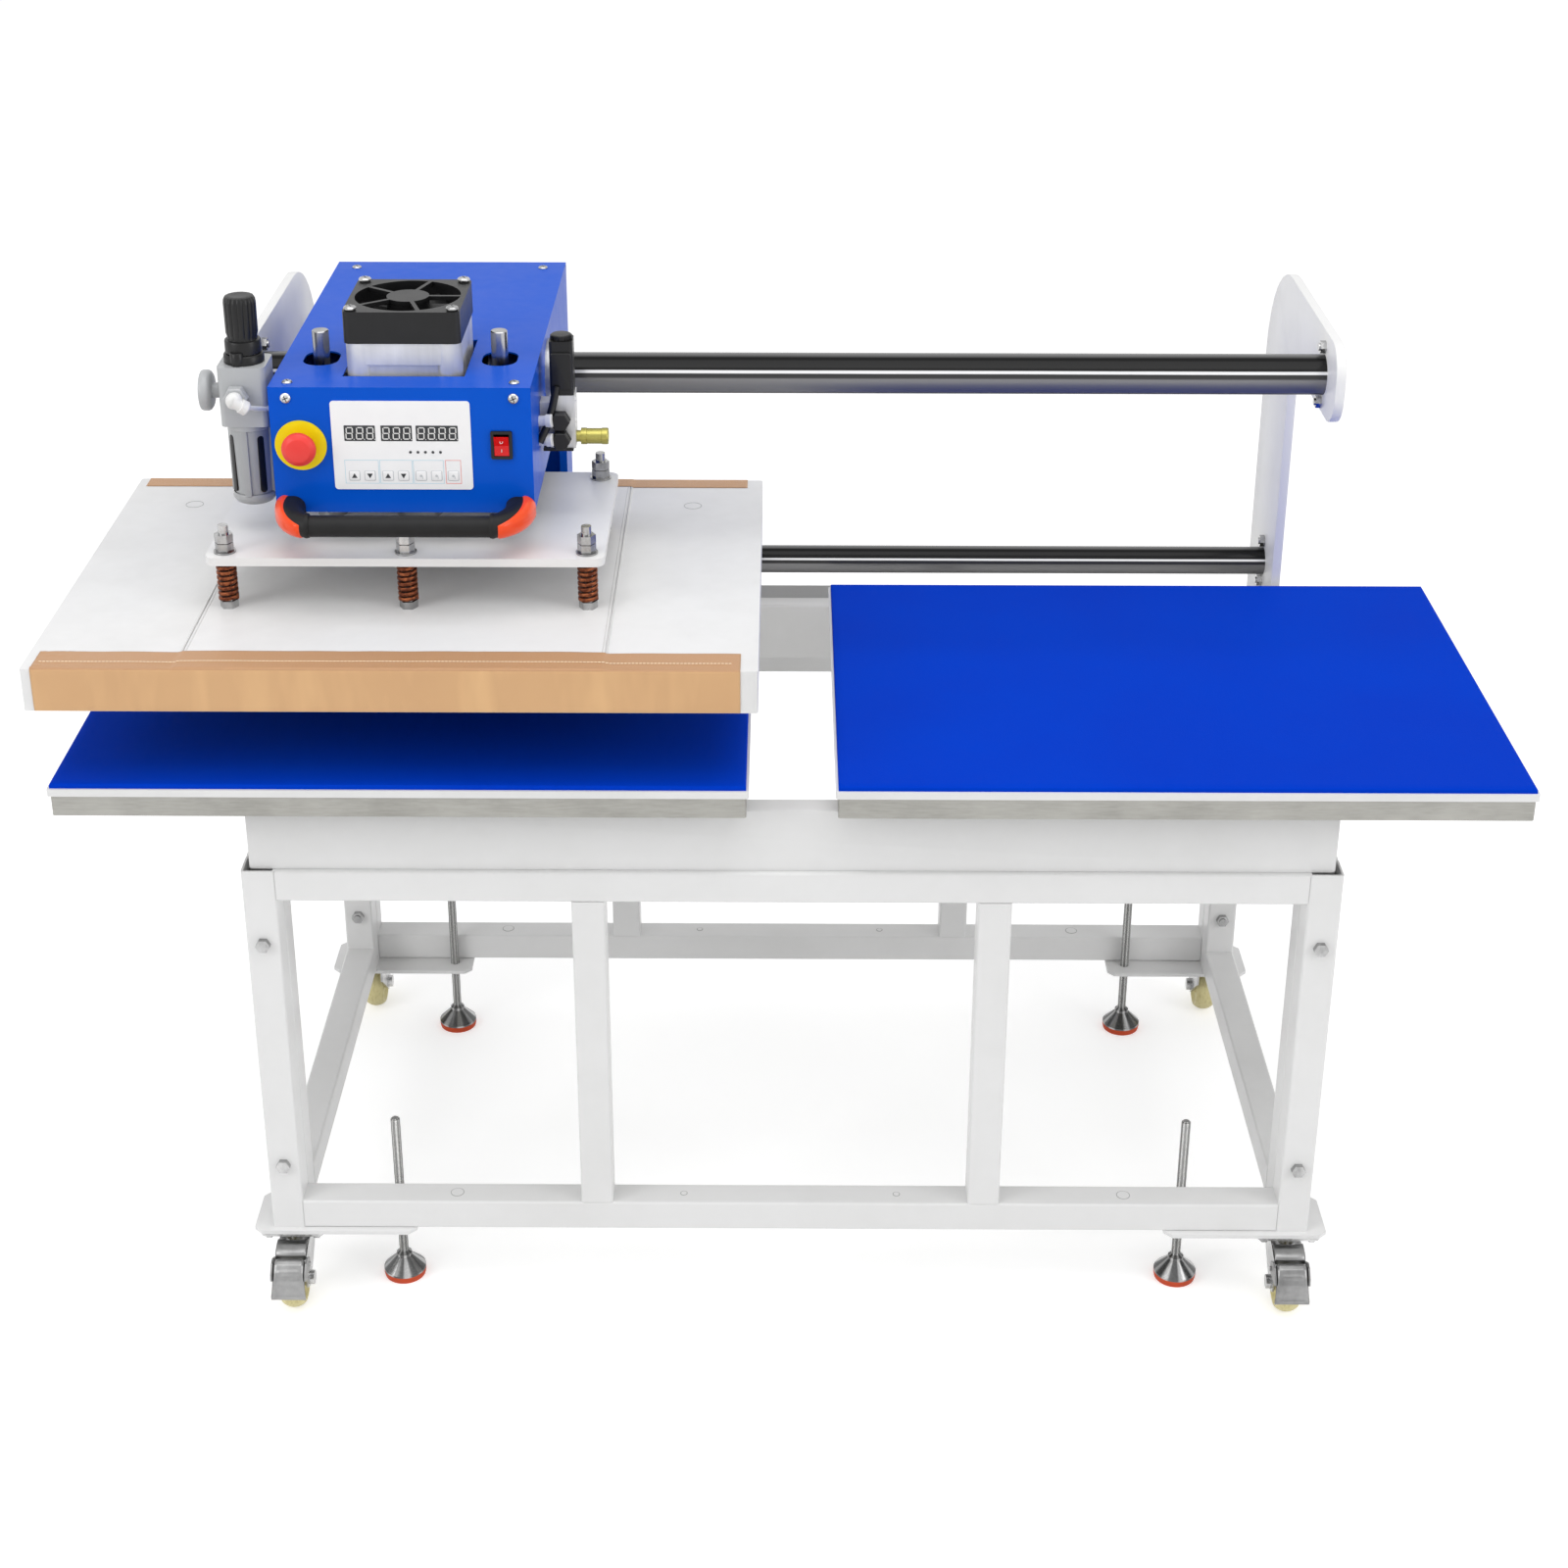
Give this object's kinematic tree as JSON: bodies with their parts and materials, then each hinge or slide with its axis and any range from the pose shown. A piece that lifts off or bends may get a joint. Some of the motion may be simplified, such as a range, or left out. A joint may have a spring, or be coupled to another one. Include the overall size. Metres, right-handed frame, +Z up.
{
  "type": "dual station heat press",
  "caption": "Pneumatic heat press on a wheeled steel stand: a sliding head with a sprung heated platen serves two padded stations side by side.",
  "frame": {"origin": "on the floor, under the centre of the machine's outline", "axes": "+X along the two stations to the right, +Y to the back, +Z up"},
  "size_m": [1.723, 0.8026, 1.262],
  "materials": {
    "frame_white": "powder coat, slightly textured",
    "tray_metal": "bare sheet edge",
    "board_white": "smooth white paint",
    "pad_silicone": "matte silicone sponge",
    "shaft_chrome": "hard chromed and ground",
    "zinc": "zinc plated",
    "head_blue": "gloss powder coat",
    "bearing_steel": "ground",
    "cylinder_aluminium": "anodised",
    "black_plastic": "moulded",
    "cast_aluminium": "cast and machined",
    "spring_steel": "copper brown plated",
    "wrap_fabric": "coated glass cloth, satin",
    "panel_white": "printed film",
    "estop_yellow": "moulded",
    "estop_red": "moulded",
    "rocker_red": "translucent moulded",
    "grip_black": "ribbed grip",
    "bracket_orange": "satin",
    "unit_grey": "satin",
    "bowl_steel": "satin",
    "gauge_face": "printed dial",
    "brass": "sintered",
    "wheel_cream": "nylon",
    "foot_zinc": "zinc plated, rubber sole",
    "pedal_steel": "zinc plated"
  },
  "bodies": {
    "stand": {"stand_posts": "frame_white", "long_rails": "frame_white", "side_frames": "frame_white", "bed_beams": "frame_white", "platen_bearers": "frame_white", "platen_trays": "tray_metal", "platen_boards": "board_white", "pads": "pad_silicone", "end_plates": "frame_white", "shafts": "shaft_chrome", "frame_bolts": "zinc", "corner_plates": "frame_white", "caster_plates": "zinc"},
    "head": {"head_side_plates": "head_blue", "cylinder_deck": "frame_white", "top_cover": "head_blue", "front_cover": "head_blue", "shaft_bearings": "bearing_steel", "guide_bushes": "bearing_steel", "cylinder_barrel": "cylinder_aluminium", "cylinder_caps": "cylinder_aluminium", "fan_frame": "black_plastic", "control_panel": "panel_white", "estop_body": "estop_yellow", "rocker_bezel": "black_plastic", "handle_tube": "grip_black", "handle_brackets": "bracket_orange", "unit_body": "unit_grey", "unit_bowl": "bowl_steel", "pressure_gauge": "gauge_face", "valve_body": "cylinder_aluminium", "valve_coil": "black_plastic", "silencer": "brass"},
    "press": {"press_plate": "frame_white", "guide_rods": "shaft_chrome", "piston": "shaft_chrome", "springs": "spring_steel"},
    "platen": {"platen_hood": "board_white", "heating_plate": "cast_aluminium", "spring_studs": "zinc", "platen_wrap": "wrap_fabric"},
    "fan": {"fan_rotor": "black_plastic"},
    "estop": {"estop_button": "estop_red"},
    "switch": {"rocker": "rocker_red"},
    "knob": {"regulator_knob": "black_plastic"},
    "fork_front_left": {"caster_front_left_fork": "zinc"},
    "wheel_front_left": {"caster_front_left_wheel": "wheel_cream"},
    "pedal_front_left": {"caster_front_left_pedal": "pedal_steel"},
    "foot_front_left": {"foot_front_left": "foot_zinc"},
    "fork_front_right": {"caster_front_right_fork": "zinc"},
    "wheel_front_right": {"caster_front_right_wheel": "wheel_cream"},
    "pedal_front_right": {"caster_front_right_pedal": "pedal_steel"},
    "foot_front_right": {"foot_front_right": "foot_zinc"},
    "fork_rear_left": {"caster_rear_left_fork": "zinc"},
    "wheel_rear_left": {"caster_rear_left_wheel": "wheel_cream"},
    "foot_rear_left": {"foot_rear_left": "foot_zinc"},
    "fork_rear_right": {"caster_rear_right_fork": "zinc"},
    "wheel_rear_right": {"caster_rear_right_wheel": "wheel_cream"},
    "foot_rear_right": {"foot_rear_right": "foot_zinc"}
  },
  "joints": [
    {"name": "head_slide", "type": "slide", "parent": "stand", "child": "head", "axis": [1, 0, 0], "range_m": [0, 0.906]},
    {"name": "press_stroke", "type": "slide", "parent": "head", "child": "press", "axis": [0, 0, -1], "range_m": [0, 0.0955]},
    {"name": "platen_float", "type": "slide", "parent": "press", "child": "platen", "axis": [0, 0, 1], "range_m": [0, 0.006], "stiffness_N_per_m": 60000, "springref_m": -0.004, "deforming": ["springs"]},
    {"name": "fan_spin", "type": "hinge", "parent": "head", "child": "fan", "pos_m": [-0.4475, -0.08175, 1.208], "axis": [0, 0, 1], "continuous": true},
    {"name": "estop_push", "type": "slide", "parent": "head", "child": "estop", "axis": [0, 1, 0], "range_m": [0, 0.005], "stiffness_N_per_m": 1500, "springref_m": -0.001},
    {"name": "switch_tilt", "type": "hinge", "parent": "head", "child": "switch", "pos_m": [-0.332, -0.19175, 1.101], "axis": [-1, 0, 0], "range_deg": [0, 18]},
    {"name": "regulator_turn", "type": "hinge", "parent": "head", "child": "knob", "pos_m": [-0.6345, -0.13575, 1.183], "axis": [0, 0, 1], "range_deg": [-540, 540]},
    {"name": "swivel_front_left", "type": "hinge", "parent": "stand", "child": "fork_front_left", "pos_m": [-0.6225, -0.31975, 0.086], "axis": [0, 0, 1], "continuous": true},
    {"name": "roll_front_left", "type": "hinge", "parent": "fork_front_left", "child": "wheel_front_left", "pos_m": [-0.6225, -0.35175, 0.0375], "axis": [1, 0, 0], "continuous": true},
    {"name": "brake_front_left", "type": "hinge", "parent": "fork_front_left", "child": "pedal_front_left", "pos_m": [-0.6225, -0.36575, 0.068], "axis": [1, 0, 0], "range_deg": [0, 13]},
    {"name": "level_front_left", "type": "slide", "parent": "stand", "child": "foot_front_left", "axis": [0, 0, 1], "range_m": [-0.03, 0.05]},
    {"name": "swivel_front_right", "type": "hinge", "parent": "stand", "child": "fork_front_right", "pos_m": [0.6335, -0.31975, 0.086], "axis": [0, 0, 1], "continuous": true},
    {"name": "roll_front_right", "type": "hinge", "parent": "fork_front_right", "child": "wheel_front_right", "pos_m": [0.6335, -0.35175, 0.0375], "axis": [1, 0, 0], "continuous": true},
    {"name": "brake_front_right", "type": "hinge", "parent": "fork_front_right", "child": "pedal_front_right", "pos_m": [0.6335, -0.36575, 0.068], "axis": [1, 0, 0], "range_deg": [0, 13]},
    {"name": "level_front_right", "type": "slide", "parent": "stand", "child": "foot_front_right", "axis": [0, 0, 1], "range_m": [-0.03, 0.05]},
    {"name": "swivel_rear_left", "type": "hinge", "parent": "stand", "child": "fork_rear_left", "pos_m": [-0.6225, 0.33025, 0.086], "axis": [0, 0, 1], "continuous": true},
    {"name": "roll_rear_left", "type": "hinge", "parent": "fork_rear_left", "child": "wheel_rear_left", "pos_m": [-0.6225, 0.36225, 0.0375], "axis": [1, 0, 0], "continuous": true},
    {"name": "level_rear_left", "type": "slide", "parent": "stand", "child": "foot_rear_left", "axis": [0, 0, 1], "range_m": [-0.03, 0.05]},
    {"name": "swivel_rear_right", "type": "hinge", "parent": "stand", "child": "fork_rear_right", "pos_m": [0.6335, 0.33025, 0.086], "axis": [0, 0, 1], "continuous": true},
    {"name": "roll_rear_right", "type": "hinge", "parent": "fork_rear_right", "child": "wheel_rear_right", "pos_m": [0.6335, 0.36225, 0.0375], "axis": [1, 0, 0], "continuous": true},
    {"name": "level_rear_right", "type": "slide", "parent": "stand", "child": "foot_rear_right", "axis": [0, 0, 1], "range_m": [-0.03, 0.05]}
  ]
}
